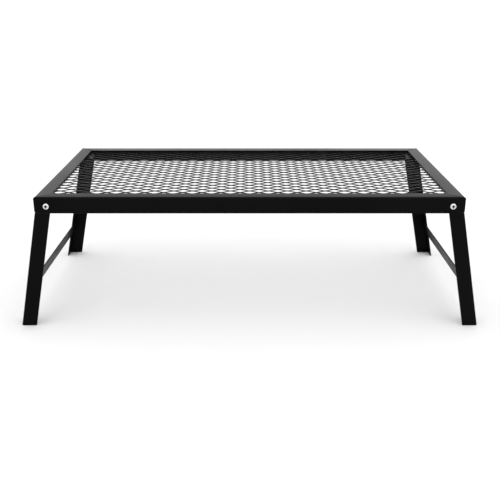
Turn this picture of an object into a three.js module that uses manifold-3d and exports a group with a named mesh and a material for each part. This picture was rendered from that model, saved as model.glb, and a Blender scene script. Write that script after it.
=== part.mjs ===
// Folding camp grill: a mitred frame of steel angle with an expanded-metal grate under its top
// flanges, and two pairs of splayed angle legs. Each pair is joined by a flat brace and turns on
// two screws through the front and rear rails, so it folds flat under the grate.
//
// Millimetres. +X runs along the length, +Y from front to rear, +Z up.
// The origin is on the ground, below the middle of the grate.

import * as THREE from 'three';
import { mergeGeometries, mergeVertices } from 'three/addons/utils/BufferGeometryUtils.js';
import Module from 'manifold-3d';

// ---- Driving dimensions -------------------------------------------------------------------

const LENGTH = 570; // frame, outside
const DEPTH = 305; // frame, outside
const HEIGHT = 187; // ground to the top of the frame
const GAP = 0.3; // between neighbouring pieces

const RAIL = { top: 20, drop: 22, wall: 2, bend: 3, cornerRadius: 5 };
const GRATE = { lap: 8, wall: 2, strand: 2.6, across: 14, deep: 11 };
const LEG = { web: 20.5, flange: 20.5, wall: 2, bend: 2.5, tabRadius: 9, splayDegrees: 11.5 };
const PIVOT = { inset: 16.4, drop: 12, toLegOuter: 14.9, hole: 2.3 };
const BRACE = { width: 16.5, wall: 2, endGap: 1.2, fromPivot: 130 };
const SCREW = { shank: 2, length: 12, head: 4.1, headHeight: 2.8, dome: 1.6 };
const RECESS = { span: 4.4, width: 0.9, depth: 1.6 };
const WASHER = { radius: 4.5, wall: 0.8 };
const NUT = { flats: 7, height: 3.4, collar: 3.1, collarHeight: 1.6 };

const BEND_STEPS = 4; // straight pieces in a right-angle bend
const ROUND_STEPS = 24; // straight pieces in a full circle
const MARGIN = 1; // how far a cutter passes the face that it cuts

// ---- Places worked out from them ----------------------------------------------------------

const PIVOT_X = LENGTH / 2 - PIVOT.inset;
const PIVOT_Z = HEIGHT - PIVOT.drop;
const SPLAY = THREE.MathUtils.degToRad(LEG.splayDegrees);

// Distances into the frame from the front rail's outer face.
const WEB_FRONT = RAIL.wall + GAP;
const WASHER_FRONT = WEB_FRONT + LEG.wall + GAP;
const NUT_FRONT = WASHER_FRONT + WASHER.wall + GAP;

// Directions at the front right corner.
const INWARD = new THREE.Vector3(0, 1, 0);
const LEFTWARD = new THREE.Vector3(-1, 0, 0);
const DOWN = new THREE.Vector3(0, 0, -1);

// ---- Materials ----------------------------------------------------------------------------

const powderCoat = { color: 0x17181a, roughness: 0.5, metalness: 0.25 };
const gratePaint = { color: 0x121314, roughness: 0.55, metalness: 0.25 };
const zincPlate = { color: 0xbfc3c6, roughness: 0.3, metalness: 0.9 };

// ---- Solid helpers ------------------------------------------------------------------------

const wasm = await Module();
wasm.setup();

function toManifold(geometry) {
  const bare = geometry.clone();
  bare.deleteAttribute('normal');
  bare.deleteAttribute('uv');
  const welded = mergeVertices(bare, 1e-4);
  return new wasm.Manifold(
    new wasm.Mesh({
      numProp: 3,
      vertProperties: new Float32Array(welded.attributes.position.array),
      triVerts: new Uint32Array(welded.index.array),
    }),
  );
}

function toGeometry(solid) {
  const mesh = solid.getMesh();
  const geometry = new THREE.BufferGeometry();
  geometry.setAttribute('position', new THREE.BufferAttribute(new Float32Array(mesh.vertProperties), 3));
  geometry.setIndex(new THREE.BufferAttribute(new Uint32Array(mesh.triVerts), 1));
  return geometry;
}

function combined(operation, geometries) {
  const solids = geometries.map(toManifold);
  return toGeometry(solids.reduce((solid, other) => solid[operation](other)));
}

const common = (...geometries) => combined('intersect', geometries);
const joined = (...geometries) => combined('add', geometries);
const cut = (...geometries) => combined('subtract', geometries);

function extruded(outline, depth, curveSegments = BEND_STEPS) {
  return new THREE.ExtrudeGeometry(outline, { depth, bevelEnabled: false, curveSegments });
}

// Extrudes an outline drawn in the XZ plane along Y, from y = from to y = to.
function prismAlongY(outline, from, to) {
  return extruded(outline, to - from, 2 * BEND_STEPS).rotateX(Math.PI / 2).translate(0, to, 0);
}

// Turns an extrusion so that its outline's x and y lie along two other axes.
function turned(geometry, outlineX, outlineY) {
  const along = new THREE.Vector3().crossVectors(outlineX, outlineY);
  return geometry.applyMatrix4(new THREE.Matrix4().makeBasis(outlineX, outlineY, along));
}

// An L section: one flange of length a along +x, one of length b along +y, with the bend at the
// origin, where the outside corner is rounded.
function angleSection(a, b, wall, bend) {
  const inner = bend - wall;
  const section = new THREE.Shape();
  section.moveTo(a, 0);
  section.lineTo(a, wall);
  section.lineTo(bend, wall);
  section.absarc(bend, bend, inner, -Math.PI / 2, -Math.PI, true);
  section.lineTo(wall, b);
  section.lineTo(0, b);
  section.lineTo(0, bend);
  section.absarc(bend, bend, bend, Math.PI, Math.PI * 1.5, false);
  return section;
}

// A rectangle from z = -drop to z = 0, centred on x = 0, with its two lower corners rounded.
function skirtOutline(width, drop, radius) {
  const half = width / 2;
  const outline = new THREE.Shape();
  outline.moveTo(half, 0);
  outline.lineTo(-half, 0);
  outline.lineTo(-half, -drop + radius);
  outline.absarc(-half + radius, -drop + radius, radius, Math.PI, Math.PI * 1.5, false);
  outline.lineTo(half - radius, -drop);
  outline.absarc(half - radius, -drop + radius, radius, -Math.PI / 2, 0, false);
  return outline;
}

// A cutter for the holes that the pivot screws pass through, along Y.
function pivotDrill() {
  return new THREE.CylinderGeometry(PIVOT.hole, PIVOT.hole, 4 * SCREW.length, ROUND_STEPS);
}

// ---- Frame --------------------------------------------------------------------------------

// A rail along X with its outer face at y = 0 and its top at z = 0, mitred at both ends.
function mitredRail(length) {
  const section = angleSection(RAIL.top, RAIL.drop, RAIL.wall, RAIL.bend);
  const bar = turned(extruded(section, length), INWARD, DOWN).translate(length / 2, 0, 0);

  const outer = length / 2 - GAP / Math.SQRT2;
  const plan = new THREE.Shape();
  plan.moveTo(-outer, 0);
  plan.lineTo(outer, 0);
  plan.lineTo(outer - RAIL.top, RAIL.top);
  plan.lineTo(-outer + RAIL.top, RAIL.top);
  const mitres = extruded(plan, RAIL.drop + 2 * MARGIN).translate(0, 0, -RAIL.drop - MARGIN);

  const skirt = prismAlongY(skirtOutline(length, RAIL.drop, RAIL.cornerRadius), -MARGIN, RAIL.top + MARGIN);
  return common(bar, mitres, skirt);
}

function longRail() {
  const holes = [-PIVOT_X, PIVOT_X].map((x) => pivotDrill().translate(x, 0, -PIVOT.drop));
  return cut(mitredRail(LENGTH), ...holes).translate(0, -DEPTH / 2, HEIGHT);
}

function endRail() {
  return mitredRail(DEPTH).translate(0, -LENGTH / 2, HEIGHT);
}

// ---- Grate --------------------------------------------------------------------------------

// A flat expanded-metal sheet: rows of diamond openings inside a plain rim, which lies under the
// rails' top flanges. The diamonds' long axes run along the grill.
function grateSheet() {
  const openX = LENGTH - 2 * RAIL.top;
  const openY = DEPTH - 2 * RAIL.top;
  const pitchX = openX / GRATE.across;
  const pitchY = openY / GRATE.deep;
  const centreToEdge = (pitchX * pitchY) / (2 * Math.hypot(pitchX, pitchY));
  const openShare = 1 - GRATE.strand / 2 / centreToEdge;

  const diamond = new THREE.Shape([
    new THREE.Vector2((openShare * pitchX) / 2, 0),
    new THREE.Vector2(0, (openShare * pitchY) / 2),
    new THREE.Vector2((-openShare * pitchX) / 2, 0),
    new THREE.Vector2(0, (-openShare * pitchY) / 2),
  ]);
  const cutDepth = GRATE.wall + 2 * MARGIN;
  const cutter = extruded(diamond, cutDepth).translate(0, 0, -cutDepth / 2);
  const cutters = [];
  for (let i = 0; i <= 2 * GRATE.across; i += 1) {
    for (let j = i % 2; j <= 2 * GRATE.deep; j += 2) {
      cutters.push(cutter.clone().translate((i * pitchX - openX) / 2, (j * pitchY - openY) / 2, 0));
    }
  }
  const withinRim = new THREE.BoxGeometry(openX, openY, cutDepth);
  const openings = common(mergeGeometries(cutters), withinRim);
  const sheet = new THREE.BoxGeometry(openX + 2 * GRATE.lap, openY + 2 * GRATE.lap, GRATE.wall);
  return cut(sheet, openings).translate(0, 0, HEIGHT - RAIL.wall - GAP - GRATE.wall / 2);
}

// ---- Legs and braces ----------------------------------------------------------------------

// The front right leg, with its pivot at the origin. Its web lies behind the front rail. Its
// flange faces outwards and stops just under the end rail's lower edge, where it rests when open.
function leg() {
  const section = angleSection(LEG.web, LEG.flange, LEG.wall, LEG.bend);
  const above = 2 * LEG.tabRadius;
  const angle = turned(extruded(section, HEIGHT + above), LEFTWARD, INWARD);
  angle.translate(PIVOT.toLegOuter, 0, above).rotateY(-SPLAY);

  const shoulder = -(RAIL.drop + GAP - PIVOT.drop);
  const foot = -PIVOT_Z;
  const beyondFoot = PIVOT_Z * Math.tan(SPLAY) + 2 * LEG.web;
  const side = new THREE.Shape();
  side.moveTo(-LEG.tabRadius, foot);
  side.lineTo(-LEG.tabRadius, 0);
  side.absarc(0, 0, LEG.tabRadius, Math.PI, 0, true);
  side.lineTo(LEG.tabRadius, shoulder);
  side.lineTo(beyondFoot, shoulder);
  side.lineTo(beyondFoot, foot);
  const profile = prismAlongY(side, -MARGIN, LEG.flange + MARGIN);

  return cut(common(angle, profile), pivotDrill()).translate(PIVOT_X, -DEPTH / 2 + WEB_FRONT, PIVOT_Z);
}

// The right brace: a flat strip on the inner faces of the two right legs' outer flanges.
function brace() {
  const webInside = DEPTH / 2 - WEB_FRONT - LEG.wall;
  const strip = new THREE.BoxGeometry(BRACE.wall, 2 * (webInside - BRACE.endGap), BRACE.width);
  const fromFlange = LEG.wall + GAP + BRACE.wall / 2;
  strip.translate(PIVOT.toLegOuter - fromFlange, 0, -BRACE.fromPivot);
  return strip.rotateY(-SPLAY).translate(PIVOT_X, 0, PIVOT_Z);
}

// ---- Pivot hardware -----------------------------------------------------------------------

// Each piece lies along the Y axis, with y = 0 at the rail's outer face and +Y into the frame.

function panHeadScrew() {
  const under = -GAP;
  const top = under - SCREW.headHeight;
  const tip = under + SCREW.length;
  const chamfer = SCREW.shank * 0.25;
  const flat = SCREW.head - SCREW.dome;
  const profile = [new THREE.Vector2(0, top)];
  for (let i = 0; i <= BEND_STEPS; i += 1) {
    const turn = (i / BEND_STEPS) * (Math.PI / 2);
    const radius = flat + SCREW.dome * Math.sin(turn);
    profile.push(new THREE.Vector2(radius, top + SCREW.dome * (1 - Math.cos(turn))));
  }
  profile.push(new THREE.Vector2(SCREW.head, under));
  profile.push(new THREE.Vector2(SCREW.shank, under));
  profile.push(new THREE.Vector2(SCREW.shank, tip - chamfer));
  profile.push(new THREE.Vector2(SCREW.shank - chamfer, tip));
  profile.push(new THREE.Vector2(0, tip));

  const slotX = new THREE.BoxGeometry(RECESS.span, 2 * RECESS.depth, RECESS.width).translate(0, top, 0);
  const slotZ = new THREE.BoxGeometry(RECESS.width, 2 * RECESS.depth, RECESS.span).translate(0, top, 0);
  return cut(new THREE.LatheGeometry(profile, ROUND_STEPS), slotX, slotZ);
}

function washer() {
  const back = WASHER_FRONT + WASHER.wall;
  const profile = [
    new THREE.Vector2(PIVOT.hole, WASHER_FRONT),
    new THREE.Vector2(WASHER.radius, WASHER_FRONT),
    new THREE.Vector2(WASHER.radius, back),
    new THREE.Vector2(PIVOT.hole, back),
    new THREE.Vector2(PIVOT.hole, WASHER_FRONT),
  ];
  return new THREE.LatheGeometry(profile, ROUND_STEPS);
}

// A lock nut: a hexagon with a round collar, which holds the locking ring, on its inner side.
function lockNut() {
  const corner = NUT.flats / Math.sqrt(3);
  const fullHeight = NUT.height + NUT.collarHeight;
  const hexagon = new THREE.CylinderGeometry(corner, corner, NUT.height, 6);
  hexagon.translate(0, NUT_FRONT + NUT.height / 2, 0);
  const collar = new THREE.CylinderGeometry(NUT.collar, NUT.collar, fullHeight, ROUND_STEPS);
  collar.translate(0, NUT_FRONT + fullHeight / 2, 0);
  return cut(joined(hexagon, collar), pivotDrill());
}

// ---- Assembly -----------------------------------------------------------------------------

const grill = new THREE.Group();

function addPart(parent, name, geometry, look) {
  const mesh = new THREE.Mesh(geometry, new THREE.MeshStandardMaterial(look));
  mesh.name = name;
  parent.add(mesh);
  return mesh;
}

addPart(grill, 'front_rail', longRail(), powderCoat);
addPart(grill, 'rear_rail', longRail(), powderCoat).rotation.z = Math.PI;
addPart(grill, 'left_rail', endRail(), powderCoat).rotation.z = -Math.PI / 2;
addPart(grill, 'right_rail', endRail(), powderCoat).rotation.z = Math.PI / 2;
addPart(grill, 'grate', grateSheet(), gratePaint);

// The right half is drawn, and the left half is its mirror image. So are the front and the rear.
for (const [sideName, mirrorX] of [['left', -1], ['right', 1]]) {
  const half = new THREE.Group();
  half.scale.x = mirrorX;
  grill.add(half);
  addPart(half, `${sideName}_brace`, brace(), powderCoat);

  for (const [faceName, mirrorY] of [['front', 1], ['rear', -1]]) {
    const quarter = new THREE.Group();
    quarter.scale.y = mirrorY;
    half.add(quarter);
    addPart(quarter, `${faceName}_${sideName}_leg`, leg(), powderCoat);

    const pivot = new THREE.Group();
    pivot.position.set(PIVOT_X, -DEPTH / 2, PIVOT_Z);
    quarter.add(pivot);
    addPart(pivot, `${faceName}_${sideName}_pivot_screw`, panHeadScrew(), zincPlate);
    addPart(pivot, `${faceName}_${sideName}_washer`, washer(), zincPlate);
    addPart(pivot, `${faceName}_${sideName}_lock_nut`, lockNut(), zincPlate);
  }
}

export default grill;
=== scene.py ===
"""Looks for a folding camp grill of black powder-coated steel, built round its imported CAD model.

The rails, legs, braces, washers and nuts are the CAD solids with softened edges. The screws get a
finer head and a thread, the grate is a finer sheet of expanded metal, and the welds are added.
Metres throughout.
"""

import math

import bmesh
import bpy
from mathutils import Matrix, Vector


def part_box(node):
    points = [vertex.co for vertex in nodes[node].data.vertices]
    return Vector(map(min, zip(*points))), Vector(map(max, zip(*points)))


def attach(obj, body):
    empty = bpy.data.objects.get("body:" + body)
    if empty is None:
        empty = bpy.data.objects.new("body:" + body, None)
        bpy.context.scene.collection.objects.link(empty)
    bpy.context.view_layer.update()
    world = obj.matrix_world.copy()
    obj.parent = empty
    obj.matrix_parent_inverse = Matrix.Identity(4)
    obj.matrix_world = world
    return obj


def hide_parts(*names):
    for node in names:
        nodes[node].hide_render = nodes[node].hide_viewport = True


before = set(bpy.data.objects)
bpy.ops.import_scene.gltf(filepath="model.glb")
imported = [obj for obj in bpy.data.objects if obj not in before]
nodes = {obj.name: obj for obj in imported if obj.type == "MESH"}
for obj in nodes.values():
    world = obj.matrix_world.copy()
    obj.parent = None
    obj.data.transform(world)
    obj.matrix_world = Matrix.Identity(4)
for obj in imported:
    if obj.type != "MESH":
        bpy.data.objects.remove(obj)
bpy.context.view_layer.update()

MM = 0.001

# Camera: on the grill's centre line, in front of it and above it, shifted by about half a pixel.
CAMERA_AWAY = 1.0933
CAMERA_HEIGHT = 0.4563
CAMERA_PITCH = math.radians(20.02)
CAMERA_LENS = 53.47
CAMERA_SHIFT = 0.0009

# Sheet metal, as the CAD model has it.
RAIL_TOP = 20 * MM
WALL = 2 * MM
RAIL_BEND = 3 * MM
SKIRT_RADIUS = 5 * MM
SPLAY = math.radians(11.5)
GAP = 0.3 * MM

# Softened edges.
SHEET_EDGE = 0.4 * MM
HARDWARE_EDGE = 0.15 * MM
STRAND_EDGE = 0.2 * MM

# Expanded metal.
DIAMOND_LONG = 25.9 * MM
DIAMOND_SHORT = 14.9 * MM
STRAND_WIDTH = 2.0 * MM
SHEET_WALL = 1.1 * MM
STRAND_TILT = math.radians(-5)
BOND_LENGTH = 2.6 * MM
OFF_CENTRE = -5.4 * MM

# Pan-head screws.
HEAD_SIDE = 1.2 * MM
HEAD_EDGE = 0.25 * MM
DOME_POWER = 2.4
DOME_STEPS = 8
RECESS_REACH = 2.4 * MM
RECESS_ARM = 0.85 * MM
RECESS_DEPTH = 1.9 * MM
RECESS_FOOT = 0.3 * MM
SHANK_RADIUS = 2 * MM
THREAD_PITCH = 0.7 * MM
THREAD_DEPTH = 0.35 * MM
TIP_LENGTH = 0.6 * MM
TIP_DEPTH = 0.4 * MM
SCREW_SIDES = 48

# Welds.
RIPPLE = 1.3 * MM
BEAD_SIDES = 12
CORNER_BEAD = 1.3 * MM
EDGE_BEAD = 0.8 * MM
BRACE_BEAD = 1.2 * MM
SEAM_PROUD = 0.05 * MM
SEAM_DEPTH = 0.8 * MM
TACK_RADIUS = 2.4 * MM
TACKS_LONG_SIDE = 12
TACKS_SHORT_SIDE = 5


# ---- Material helpers ------------------------------------------------------------------------


class Nodes:
    """A material's node tree, with short calls to add and join nodes. Scales are per metre."""

    def __init__(self, name):
        self.material = bpy.data.materials.new(name)
        self.material.use_nodes = True
        self.tree = self.material.node_tree
        self.shader = self.tree.nodes["Principled BSDF"]
        self.place = self.add("ShaderNodeTexCoord").outputs["Object"]

    def add(self, kind, **settings):
        node = self.tree.nodes.new(kind)
        for key, value in settings.items():
            setattr(node, key, value)
        return node

    def link(self, output, node, socket):
        self.tree.links.new(output, node.inputs[socket])

    def noise(self, scale, detail=2.0, roughness=0.5):
        node = self.add("ShaderNodeTexNoise")
        node.inputs["Scale"].default_value = scale
        node.inputs["Detail"].default_value = detail
        node.inputs["Roughness"].default_value = roughness
        self.link(self.place, node, "Vector")
        return node.outputs["Fac"]

    def remap(self, value, low, high, to_low=0.0, to_high=1.0):
        node = self.add("ShaderNodeMapRange")
        self.link(value, node, "Value")
        node.inputs["From Min"].default_value = low
        node.inputs["From Max"].default_value = high
        node.inputs["To Min"].default_value = to_low
        node.inputs["To Max"].default_value = to_high
        return node.outputs["Result"]

    def math(self, operation, first, second):
        node = self.add("ShaderNodeMath", operation=operation)
        for index, value in enumerate((first, second)):
            if isinstance(value, float):
                node.inputs[index].default_value = value
            else:
                self.link(value, node, index)
        return node.outputs[0]

    def mix(self, factor, first, second):
        """Mixes two colours, each an (r, g, b) or an output."""
        node = self.add("ShaderNodeMix", data_type="RGBA")
        self.link(factor, node, 0)
        for index, value in ((6, first), (7, second)):
            if isinstance(value, tuple):
                node.inputs[index].default_value = (*value, 1.0)
            else:
                self.link(value, node, index)
        return node.outputs[2]

    def bump(self, height, strength, distance, under=None):
        node = self.add("ShaderNodeBump")
        node.inputs["Strength"].default_value = strength
        node.inputs["Distance"].default_value = distance
        self.link(height, node, "Height")
        if under is not None:
            self.link(under, node, "Normal")
        return node.outputs["Normal"]

    def edge_mask(self, radius):
        """1 on an edge, 0 on flat faces."""
        rounded = self.add("ShaderNodeBevel", samples=4)
        rounded.inputs["Radius"].default_value = radius
        flat = self.add("ShaderNodeNewGeometry").outputs["Normal"]
        product = self.add("ShaderNodeVectorMath", operation="DOT_PRODUCT")
        self.link(rounded.outputs["Normal"], product, 0)
        self.link(flat, product, 1)
        return self.remap(product.outputs["Value"], 0.995, 0.85)


# ---- Materials -------------------------------------------------------------------------------


def powder_coat(name, grey, texture_scale):
    """Black satin powder coat: orange peel, a slow drift in tone and gloss, thinner paint at edges."""
    n = Nodes(name)
    drift = n.remap(n.noise(9.0, detail=3.0), 0.3, 0.7)
    grain = n.noise(texture_scale, detail=3.0, roughness=0.6)
    peel = n.noise(texture_scale * 0.35)
    patches = n.remap(n.noise(70.0, detail=4.0), 0.42, 0.68)
    rubbed = n.math("MULTIPLY", n.edge_mask(0.9 * MM), patches)

    dark = (0.80 * grey, 0.80 * grey, 0.82 * grey)
    light = (1.35 * grey, 1.35 * grey, 1.38 * grey)
    worn = (0.05, 0.05, 0.052)
    paint = n.mix(drift, dark, light)
    n.link(n.mix(n.math("MULTIPLY", rubbed, 0.5), paint, worn), n.shader, "Base Color")

    broad = n.remap(drift, 0.0, 1.0, 0.25, 0.33)
    rough = n.math("ADD", broad, n.remap(grain, 0.3, 0.7, -0.04, 0.04))
    n.link(n.math("SUBTRACT", rough, n.math("MULTIPLY", rubbed, 0.08)), n.shader, "Roughness")

    n.shader.inputs["Specular IOR Level"].default_value = 0.04
    wave = n.bump(peel, 0.55, 0.08 * MM)
    n.link(n.bump(grain, 0.8, 0.04 * MM, under=wave), n.shader, "Normal")
    return n.material


def zinc_plate(name, dark, light, roughness):
    """Zinc on turned and pressed steel, a little clouded."""
    n = Nodes(name)
    cloud = n.noise(900.0, detail=3.0)
    n.link(n.mix(n.remap(cloud, 0.3, 0.7), dark, light), n.shader, "Base Color")
    n.link(n.remap(cloud, 0.3, 0.7, roughness - 0.06, roughness + 0.06), n.shader, "Roughness")
    n.link(n.bump(n.noise(6000.0), 0.2, 0.01 * MM), n.shader, "Normal")
    n.shader.inputs["Metallic"].default_value = 1.0
    return n.material


def studio_floor():
    """Matt white."""
    n = Nodes("studio floor")
    n.shader.inputs["Base Color"].default_value = (0.79, 0.79, 0.79, 1.0)
    n.shader.inputs["Roughness"].default_value = 0.9
    n.shader.inputs["Specular IOR Level"].default_value = 0.0
    return n.material


# ---- Mesh helpers ----------------------------------------------------------------------------


def new_piece(name, bm, material, body):
    """Makes an added piece, which rides on a body and takes its finish from a slot."""
    bmesh.ops.recalc_face_normals(bm, faces=bm.faces)
    mesh = bpy.data.meshes.new(name)
    bm.to_mesh(mesh)
    bm.free()
    mesh.shade_smooth()
    mesh.materials.append(material)
    piece = bpy.data.objects.new(name, mesh)
    bpy.context.scene.collection.objects.link(piece)
    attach(piece, body)
    return piece


def soften(piece, width, segments):
    """Rounds the sharp edges."""
    bevel = piece.modifiers.new("soft edges", "BEVEL")
    bevel.width = width
    bevel.segments = segments
    bevel.limit_method = "ANGLE"
    bevel.angle_limit = math.radians(32)
    bevel.miter_outer = "MITER_ARC"
    bevel.use_clamp_overlap = True
    bevel.harden_normals = True


def finish_node(name, material, edge):
    """Keeps a CAD solid: joins its doubled corners, merges its flat faces and rounds its edges."""
    node = nodes[name]
    node.data.materials.clear()
    node.data.materials.append(material)
    for flag in ("custom_normal", "sharp_edge", "sharp_face"):
        if flag in node.data.attributes:
            node.data.attributes.remove(node.data.attributes[flag])
    joined = node.modifiers.new("joined corners", "WELD")
    joined.merge_threshold = 0.001 * MM
    flat = node.modifiers.new("whole faces", "DECIMATE")
    flat.decimate_type = "DISSOLVE"
    flat.angle_limit = math.radians(0.5)
    soften(node, edge, segments=2)


# ---- Grate -----------------------------------------------------------------------------------


def bond_corners(bm, half_x, half_y, middle_z):
    """The corners of every bond, by column, row, end, level across and face of the sheet."""
    across = Vector((0, math.cos(STRAND_TILT), math.sin(STRAND_TILT))) * STRAND_WIDTH
    through = Vector((0, -math.sin(STRAND_TILT), math.cos(STRAND_TILT))) * SHEET_WALL / 2
    columns = math.ceil(2 * half_x / DIAMOND_LONG) + 1
    rows = math.ceil(2 * half_y / DIAMOND_SHORT) + 1
    corners = {}
    for column in range(-columns, columns + 1):
        for row in range(-rows, rows + 1):
            if (column + row) % 2:
                continue
            middle_y = row * DIAMOND_SHORT / 2 + OFF_CENTRE
            middle = Vector((column * DIAMOND_LONG / 2, middle_y, middle_z))
            for end in (-1, 1):
                for level in (-1, 0, 1):
                    for face in (-1, 1):
                        place = middle + across * level + through * face
                        place.x += end * BOND_LENGTH / 2
                        corners[column, row, end, level, face] = bm.verts.new(place)
    return corners


def trim(bm, axis, reach):
    """Cuts the mesh off square at both ends of an axis, and closes the cuts."""
    for sign in (-1, 1):
        cut = bmesh.ops.bisect_plane(
            bm,
            geom=bm.verts[:] + bm.edges[:] + bm.faces[:],
            plane_co=axis * sign * reach,
            plane_no=axis * sign,
            clear_outer=True,
        )
        edges = [e for e in cut["geom_cut"] if isinstance(e, bmesh.types.BMEdge)]
        bmesh.ops.edgeloop_fill(bm, edges=edges)


def expanded_metal(half_x, half_y, middle_z):
    """Expanded metal: strands that zigzag along X, lean a little, and join in pairs at the bonds.

    A strand leaves by the far half of one bond's end and arrives at the near half of the next.
    """
    bm = bmesh.new()
    corners = bond_corners(bm, half_x, half_y, middle_z)

    def half_end(column, row, end, level):
        """One strand's section where it meets a bond: from level to the next, and back."""
        outline = ((level, -1), (level + 1, -1), (level + 1, 1), (level, 1))
        return [corners[column, row, end, across, face] for across, face in outline]

    def bridge(first, second, sides):
        """Faces between two sections, on some of their four sides."""
        for k in sides:
            m = (k + 1) % 4
            bm.faces.new((first[k], first[m], second[m], second[k]))

    for column, row in sorted({key[:2] for key in corners}):
        bridge(half_end(column, row, -1, -1), half_end(column, row, 1, -1), (0, 2, 3))
        bridge(half_end(column, row, -1, 0), half_end(column, row, 1, 0), (0, 1, 2))
        for step in (-1, 1):
            if (column + 1, row + step, 1, 0, 1) in corners:
                leave, arrive = (0, -1) if step > 0 else (-1, 0)
                start = half_end(column, row, 1, leave)
                end = half_end(column + 1, row + step, -1, arrive)
                bridge(start, end, range(4))

    trim(bm, Vector((1, 0, 0)), half_x)
    trim(bm, Vector((0, 1, 0)), half_y)
    return bm


def make_grate():
    """The grate, with its highest edges just under the rails' top flanges."""
    low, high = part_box("grate")
    half_x = (high.x - low.x) / 2
    half_y = (high.y - low.y) / 2
    rise = STRAND_WIDTH * abs(math.sin(STRAND_TILT)) + SHEET_WALL / 2 * math.cos(STRAND_TILT)
    bm = expanded_metal(half_x, half_y, high.z - rise)
    grate = new_piece("expanded_grate", bm, grate_coat, "frame")
    soften(grate, STRAND_EDGE, segments=1)
    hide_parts("grate")


# ---- Screws ----------------------------------------------------------------------------------


def cross_reach(turn):
    """How far a cross recess reaches from its middle, in a direction."""
    off_arm = abs((turn + math.pi / 4) % (math.pi / 2) - math.pi / 4)
    return min(RECESS_REACH / math.cos(off_arm), RECESS_ARM / max(math.sin(off_arm), 0.001))


def head_rings(radius, height, turns):
    """Rings of (distance from the axis, height) up the recess, over the dome and down the side."""

    def dome(reach):
        fall = 1 - min(1.0, reach / radius) ** DOME_POWER
        return HEAD_SIDE + (height - HEAD_SIDE) * fall ** (1 / DOME_POWER)

    floor = height - RECESS_DEPTH
    rings = [[(0.3 * cross_reach(turn), floor) for turn in turns]]
    rings.append([(0.75 * cross_reach(turn), floor + RECESS_FOOT) for turn in turns])
    for step in range(DOME_STEPS + 1):
        blend = step / DOME_STEPS
        ring = []
        for turn in turns:
            reach = cross_reach(turn) * (1 - blend) + radius * blend
            ring.append((reach, dome(reach)))
        rings.append(ring)
    rings.append([(radius, HEAD_EDGE) for turn in turns])
    rings.append([(radius - HEAD_EDGE, 0.0) for turn in turns])
    return rings


def shank_rings(radius, length, turns):
    """Rings down a threaded shank to its chamfered tip."""
    rings = [[(radius, 0.0) for turn in turns]]
    steps = math.ceil(length / THREAD_PITCH * 6)
    for step in range(1, steps + 1):
        down = length * step / steps
        end = min(1.0, (length - down) / TIP_LENGTH)
        ring = []
        for turn in turns:
            along_thread = (down / THREAD_PITCH + turn / (2 * math.pi)) % 1
            groove = THREAD_DEPTH * (1 - abs(2 * along_thread - 1))
            ring.append((radius - groove - TIP_DEPTH * (1 - end), -down))
        rings.append(ring)
    return rings


def make_screw(name):
    """A pan-head screw with a cross recess and a thread, in place of the CAD screw. Its recess and its
    thread are darkened as painted shade.
    """
    low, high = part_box(name)
    middle = (low + high) / 2
    outward = math.copysign(1, middle.y)
    radius = (high.x - low.x) / 2
    seat = outward * (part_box("rear_rail")[1].y + GAP)
    height = max(abs(low.y), abs(high.y)) - abs(seat)
    length = abs(seat) - min(abs(low.y), abs(high.y))
    turns = [2 * math.pi * k / SCREW_SIDES for k in range(SCREW_SIDES)]

    bm = bmesh.new()
    rings = []
    head = head_rings(radius, height, turns)
    for ring in head + shank_rings(SHANK_RADIUS, length, turns):
        rings.append([
            bm.verts.new((
                middle.x + reach * math.cos(turn),
                seat + outward * up,
                middle.z + reach * math.sin(turn),
            ))
            for turn, (reach, up) in zip(turns, ring)
        ])
    # The recess floor and walls take near-black zinc: painted shade in the cross recess.
    bm.faces.new(rings[0]).material_index = 1
    # The shank's end and thread take the darker zinc: painted shade along the thread.
    bm.faces.new(rings[-1]).material_index = 2
    recess = rings[1:3]
    shank = rings[len(head):]
    for first, second in zip(rings, rings[1:]):
        for k in range(len(turns)):
            m = (k + 1) % len(turns)
            face = bm.faces.new((first[k], first[m], second[m], second[k]))
            if second in recess:
                face.material_index = 1
            elif second in shank:
                face.material_index = 2
    screw = new_piece(f"{name}_threaded", bm, zinc, "frame")
    screw.data.materials.append(recess_painted_shade_zinc)
    screw.data.materials.append(rough_zinc_painted_shade)
    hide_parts(name)


# ---- Welds -----------------------------------------------------------------------------------


def add_tube(bm, rings):
    """Joins rings of points into a closed tube."""
    previous = None
    for ring in rings:
        ring = [bm.verts.new(point) for point in ring]
        if previous is None:
            bm.faces.new(ring)
        else:
            for k in range(len(ring)):
                m = (k + 1) % len(ring)
                bm.faces.new((previous[k], previous[m], ring[m], ring[k]))
        previous = ring
    bm.faces.new(previous)


def add_bead(bm, start, end, radius):
    """A weld bead from start to end, with ripples, a slight wander and rounded ends."""
    length = (end - start).length
    along = (end - start) / length
    side = along.orthogonal().normalized()
    up = along.cross(side)
    steps = max(8, round(length / RIPPLE * 4))
    turns = [2 * math.pi * k / BEAD_SIDES for k in range(BEAD_SIDES)]
    rings = []
    for step in range(steps + 1):
        distance = length * step / steps
        from_end = min(distance, length - distance) / radius
        taper = math.sqrt(max(0.05, 1 - max(0.0, 1 - from_end) ** 2))
        size = radius * taper * (1 + 0.08 * math.sin(2 * math.pi * distance / RIPPLE))
        middle = start + along * distance + side * 0.1 * radius * math.sin(0.9 * distance / radius)
        rings.append([middle + (side * math.cos(turn) + up * math.sin(turn)) * size for turn in turns])
    add_tube(bm, rings)


def corner_point(sign_x, sign_y, corner, inset, z):
    """A point at a height z, in from one of the frame's corners along its mitre."""
    return Vector((sign_x * (corner.x - inset), sign_y * (corner.y - inset), z))


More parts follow.
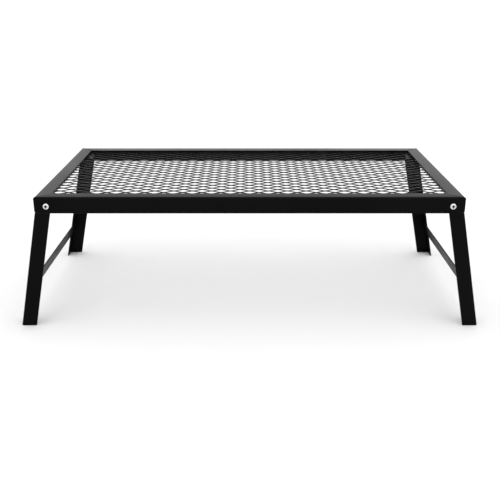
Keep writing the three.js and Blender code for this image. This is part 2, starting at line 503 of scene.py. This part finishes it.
def add_mitre_seam(bm, sign_x, sign_y, corner):
    """The dressed weld that closes a mitre: over the top flanges and round the bend.

    Its path holds (distance in from the corner, height over the top, half the seam's width).
    """
    path = [(RAIL_TOP - GAP, 0.0, 0.9 * MM), (RAIL_BEND, 0.0, 0.8 * MM)]
    bend_steps = 5
    for step in range(1, bend_steps + 1):
        turn = math.radians(90) * step / bend_steps
        inset = RAIL_BEND * (1 - math.sin(turn))
        rise = -RAIL_BEND * (1 - math.cos(turn))
        path.append((inset, rise, (0.8 - 0.1 * step) * MM))
    outward = Vector((sign_x, sign_y, 0)).normalized()
    across = Vector((sign_x, -sign_y, 0)).normalized()
    rings = []
    for inset, rise, half in path:
        turn = math.radians(90) * max(0.0, RAIL_BEND - inset) / RAIL_BEND
        normal = Vector((0, 0, 1)) * math.cos(turn) + outward * math.sin(turn)
        middle = corner_point(sign_x, sign_y, corner, inset, corner.z + rise)
        top = middle + normal * SEAM_PROUD
        under = middle - normal * SEAM_DEPTH
        sideways = across * half
        rings.append([top - sideways, top + sideways, under + sideways, under - sideways])
    add_tube(bm, rings)


def make_corner_welds():
    """At each corner of the frame: the mitre seam, a bead down the outer edge and two inside."""
    bottom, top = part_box("rear_rail")
    corner = Vector((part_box("right_rail")[1].x, top.y, top.z))
    under_top = corner.z - WALL
    # Each bead: where it starts (distance in, height), where it ends, and its radius.
    beads = (
        (EDGE_BEAD, corner.z - RAIL_BEND + EDGE_BEAD, EDGE_BEAD, bottom.z + SKIRT_RADIUS / 2, EDGE_BEAD),
        (WALL, under_top - CORNER_BEAD, WALL, bottom.z + SKIRT_RADIUS, CORNER_BEAD),
        (WALL + 2 * MM, under_top, WALL + 9 * MM, under_top, CORNER_BEAD),
    )
    for sign_x, side in ((-1, "left"), (1, "right")):
        for sign_y, face in ((-1, "front"), (1, "rear")):
            bm = bmesh.new()
            add_mitre_seam(bm, sign_x, sign_y, corner)
            for start_inset, start_z, end_inset, end_z, radius in beads:
                start = corner_point(sign_x, sign_y, corner, start_inset, start_z)
                end = corner_point(sign_x, sign_y, corner, end_inset, end_z)
                add_bead(bm, start, end, radius)
            new_piece(f"{face}_{side}_corner_weld", bm, rail_coat, "frame")


def make_brace_welds():
    """Beads along both edges of each brace where it lies in a leg's flange."""
    for sign_x, side in ((-1, "left"), (1, "right")):
        low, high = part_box(f"{side}_brace")
        middle = (low + high) / 2
        down_leg = Vector((sign_x * math.sin(SPLAY), 0, -math.cos(SPLAY)))
        outward = Vector((sign_x * math.cos(SPLAY), 0, math.sin(SPLAY)))
        half_width = ((high.z - low.z) - WALL * math.sin(SPLAY)) / math.cos(SPLAY) / 2
        flange_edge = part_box(f"rear_{side}_leg")[0].y
        for sign_y, face in ((-1, "front"), (1, "rear")):
            bm = bmesh.new()
            for edge in (-1, 1):
                line = middle + down_leg * edge * (half_width + 0.3 * BRACE_BEAD) + outward * WALL / 2
                start = Vector((line.x, sign_y * (high.y - BRACE_BEAD), line.z))
                end = Vector((line.x, sign_y * (flange_edge + BRACE_BEAD), line.z))
                add_bead(bm, start, end, BRACE_BEAD)
            new_piece(f"{face}_{side}_brace_weld", bm, rail_coat, f"{side}_legs")


def add_tack(bm, place, radius):
    """A small flattened lump of weld."""
    made = bmesh.ops.create_icosphere(bm, subdivisions=3, radius=radius)
    for v in made["verts"]:
        lumps = math.sin(v.co.x / radius * 5 + place.x * 900) * math.cos(v.co.y / radius * 4)
        swell = 1 + 0.12 * lumps
        v.co = Vector((v.co.x * swell, v.co.y * swell, v.co.z * 0.5)) + place


def spread(reach, count):
    """Evenly spaced numbers from -reach to reach."""
    return [reach * (2 * k / (count - 1) - 1) for k in range(count)]


def make_tack_welds():
    """Tacks that hold the grate's edges up under the rails' top flanges."""
    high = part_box("grate")[1]
    edge_x = high.x - TACK_RADIUS / 2
    edge_y = high.y - TACK_RADIUS / 2
    z = high.z - SHEET_WALL
    along_x = spread(high.x - 25 * MM, TACKS_LONG_SIDE)
    along_y = spread(high.y - 35 * MM, TACKS_SHORT_SIDE)
    places = [Vector((x, sign * edge_y, z)) for x in along_x for sign in (-1, 1)]
    places += [Vector((sign * edge_x, y, z)) for y in along_y for sign in (-1, 1)]
    bm = bmesh.new()
    for place in places:
        add_tack(bm, place, TACK_RADIUS)
    new_piece("grate_tack_welds", bm, grate_coat, "frame")


# ---- Studio ----------------------------------------------------------------------------------


def make_studio():
    """A white floor, white surroundings and one broad soft light overhead."""
    scene = bpy.context.scene
    scene.view_settings.view_transform = "Standard"

    half = 30.0
    corners = [(-half, -half, 0), (half, -half, 0), (half, half, 0), (-half, half, 0)]
    mesh = bpy.data.meshes.new("floor")
    mesh.from_pydata(corners, [], [(0, 1, 2, 3)])
    mesh.materials.append(studio_floor())
    floor = bpy.data.objects.new("floor", mesh)
    scene.collection.objects.link(floor)

    world = bpy.data.worlds.new("studio")
    world.use_nodes = True
    world.node_tree.nodes["Background"].inputs["Color"].default_value = (1.0, 1.0, 1.0, 1.0)
    world.node_tree.nodes["Background"].inputs["Strength"].default_value = 1.35
    scene.world = world

    lamp = bpy.data.lights.new("overhead", "AREA")
    lamp.shape = "RECTANGLE"
    lamp.size = 2.4
    lamp.size_y = 1.8
    lamp.energy = 6.0
    light = bpy.data.objects.new("overhead", lamp)
    light.location = (0.3, -0.2, 2.2)
    scene.collection.objects.link(light)


def make_camera():
    """The photograph's view."""
    camera = bpy.data.objects.new("camera", bpy.data.cameras.new("camera"))
    camera.data.lens = CAMERA_LENS
    camera.data.shift_x = CAMERA_SHIFT
    camera.location = (0, -CAMERA_AWAY, CAMERA_HEIGHT)
    camera.rotation_euler = (math.radians(90) - CAMERA_PITCH, 0, 0)
    bpy.context.scene.collection.objects.link(camera)
    bpy.context.scene.camera = camera


# ---- The object ------------------------------------------------------------------------------


rail_coat = powder_coat("black powder coat", grey=0.0022, texture_scale=1700.0)
grate_coat = powder_coat("black grate coat", grey=0.0030, texture_scale=2100.0)
zinc = zinc_plate("bright zinc", (0.62, 0.63, 0.64), (0.80, 0.80, 0.79), roughness=0.26)
# Near-black zinc for the cross recess: painted shade, where the recess lies in shadow.
recess_painted_shade_zinc = zinc_plate("zinc with painted recess shade", (0.02, 0.02, 0.02), (0.05, 0.05, 0.05), roughness=0.55)
# Darker, rougher zinc for the nuts, washers and thread. The roughness is real dull plating. The darker
# colour is painted shade for parts in shadow under the flanges and in the thread.
rough_zinc_painted_shade = zinc_plate("rough zinc with painted shade", (0.20, 0.20, 0.21), (0.30, 0.30, 0.30), roughness=0.45)

for name in nodes:
    if name.endswith(("_rail", "_leg", "_brace")):
        finish_node(name, rail_coat, SHEET_EDGE)
    elif name.endswith(("_washer", "_nut")):
        # Nuts and washers take the darker zinc, which carries painted shade.
        finish_node(name, rough_zinc_painted_shade, HARDWARE_EDGE)
    elif name.endswith("_screw"):
        make_screw(name)

make_grate()
make_corner_welds()
make_brace_welds()
make_tack_welds()
make_studio()
make_camera()
